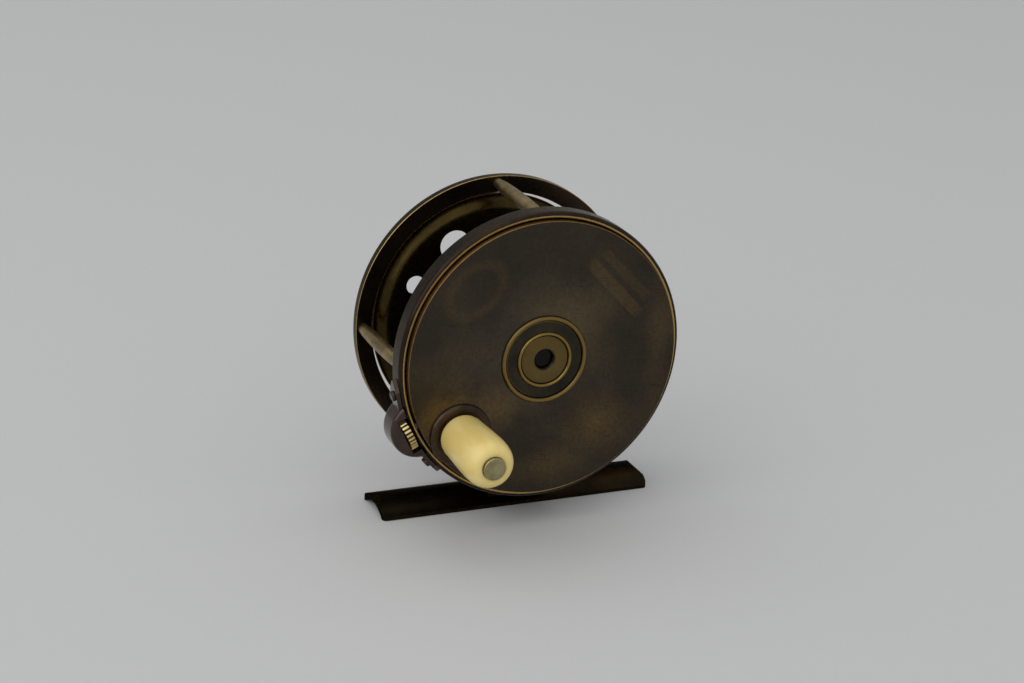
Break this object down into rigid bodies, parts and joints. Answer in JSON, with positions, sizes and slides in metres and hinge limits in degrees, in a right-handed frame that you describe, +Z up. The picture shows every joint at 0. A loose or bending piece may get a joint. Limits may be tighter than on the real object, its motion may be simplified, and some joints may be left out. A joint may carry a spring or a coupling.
{
  "type": "fly reel",
  "caption": "Small all-brass fly reel with a revolving winding plate, open cage, perforated drum, rim check screw, ball race and a long foot for the rod.",
  "frame": {"origin": "on the crown of the rod seat, the top line of the hollow under the foot, in the middle of its length", "axes": "+X along the rod and the foot, -Y is the winding side with the handle, +Z up from the rod to the drum's spindle"},
  "size_m": [0.0651, 0.0525, 0.0694],
  "materials": {
    "winding_plate_brass": "brushed brass with a thin brown patina, worn golden where it is handled",
    "dark_brass": "dark bronzed brass, worn bright along its edges",
    "drum_brass": "turned brass with a brown patina",
    "bright_brass": "knurled brass rubbed bright",
    "nickel_silver": "turned nickel silver, dulled",
    "bronze": "turned bearing bronze",
    "steel": "ground tool steel",
    "screw_steel": "blued steel, slots worn",
    "ivorine": "polished cream ivorine, yellowed with age"
  },
  "bodies": {
    "frame": {"front_frame": "dark_brass", "rear_ring": "dark_brass", "pillar_right": "nickel_silver", "pillar_top": "nickel_silver", "pillar_left": "nickel_silver", "bearing_housing": "drum_brass", "bearing_housing_screws": "screw_steel", "outer_race": "steel", "race_lock_ring": "drum_brass", "bearing_bush": "bronze", "foot": "dark_brass", "foot_saddle": "dark_brass", "foot_screws": "screw_steel", "pawl_pivot": "steel", "spring_anchor": "drum_brass", "check_spring": "steel", "tension_housing": "dark_brass", "tension_housing_screws": "screw_steel"},
    "spool": {"handle_plate": "winding_plate_brass", "centre_boss": "winding_plate_brass", "spindle": "steel", "inner_race": "steel", "ratchet_wheel": "steel", "ratchet_screws": "screw_steel", "drum_front_flange": "drum_brass", "drum_rear_flange": "drum_brass", "drum_core": "drum_brass", "drum_plug": "drum_brass", "drum_screws": "screw_steel", "drum_nut": "drum_brass", "handle_collar": "dark_brass", "handle_washer": "nickel_silver", "handle_pin": "nickel_silver"},
    "grip": {"handle_grip": "ivorine"},
    "ball_set": {"race_balls": "steel"},
    "pawl": {"check_pawl": "steel"},
    "tension_screw": {"tension_wheel": "bright_brass", "tension_stem": "steel"},
    "tension_slide": {"tension_block": "drum_brass"}
  },
  "joints": [
    {"name": "spool_spin", "type": "hinge", "parent": "frame", "child": "spool", "pos_m": [0, 0, 0.0358], "axis": [0, -1, 0], "continuous": true},
    {"name": "grip_spin", "type": "hinge", "parent": "spool", "child": "grip", "pos_m": [-0.01834, -0.029, 0.02095], "axis": [0, -1, 0], "continuous": true},
    {"name": "ball_orbit", "type": "hinge", "parent": "frame", "child": "ball_set", "pos_m": [0, -0.0077, 0.0358], "axis": [0, -1, 0], "continuous": true},
    {"name": "pawl_lift", "type": "hinge", "parent": "frame", "child": "pawl", "pos_m": [-0.01386, -0.0156, 0.03616], "axis": [0, 1, 0], "range_deg": [0, 7], "stiffness_Nm_per_rad": 0.003, "springref_deg": -17.19, "deforming": ["check_spring"]},
    {"name": "tension_turn", "type": "hinge", "parent": "frame", "child": "tension_screw", "pos_m": [-0.02921, -0.0143, 0.02155], "axis": [-0.8988, 0, -0.4384], "range_deg": [-290, 290]},
    {"name": "tension_travel", "type": "slide", "parent": "frame", "child": "tension_slide", "axis": [-0.8988, 0, -0.4384], "range_m": [-0.0004, 0.0004]}
  ],
  "couplings": [
    {"joint": "ball_orbit", "follows": "spool_spin", "ratio": 0.377},
    {"joint": "tension_turn", "follows": "tension_travel", "rad_per_m": -12566}
  ]
}
